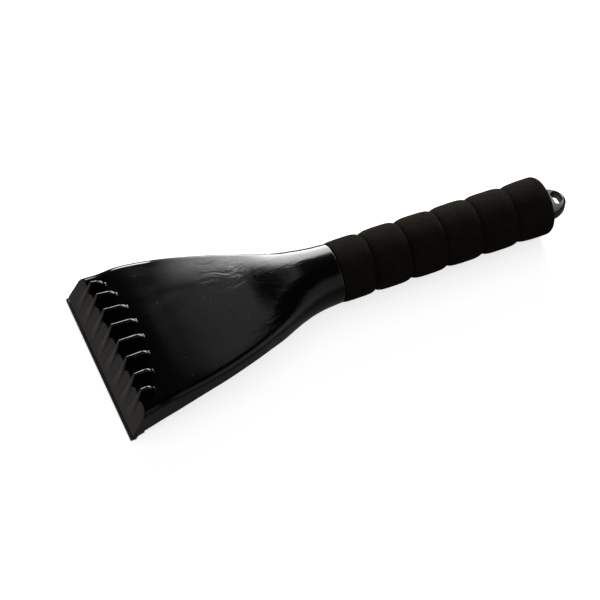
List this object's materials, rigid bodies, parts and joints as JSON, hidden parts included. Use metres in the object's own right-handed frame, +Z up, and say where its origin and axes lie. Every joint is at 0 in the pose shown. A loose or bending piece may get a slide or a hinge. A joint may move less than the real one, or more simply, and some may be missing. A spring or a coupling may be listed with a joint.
{
  "type": "windshield ice scraper",
  "caption": "Hand ice scraper: fan-shaped moulded head with ice-breaker fins above a straight blade edge, grooved foam grip and a hanging eye at the tail.",
  "frame": {"origin": "middle of the bounding box, on the surface that the scraper lies on", "axes": "+X along the handle from the blade to the hanging eye, +Z up with the fins on top, Y across the blade"},
  "size_m": [0.286, 0.1, 0.0356],
  "materials": {
    "head_plastic": "glossy black moulded plastic with faint flow marks",
    "blade_plastic": "satin black plastic strip",
    "tube_plastic": "plain dark tube, hidden inside the grip",
    "grip_foam": "fine-celled black foam with a dull open surface",
    "plug_plastic": "glossy black moulded plastic"
  },
  "bodies": {
    "root": {"scraper_head": "head_plastic", "blade_strip": "blade_plastic", "handle_tube": "tube_plastic", "foam_grip": "grip_foam", "end_plug": "plug_plastic"}
  },
  "joints": []
}
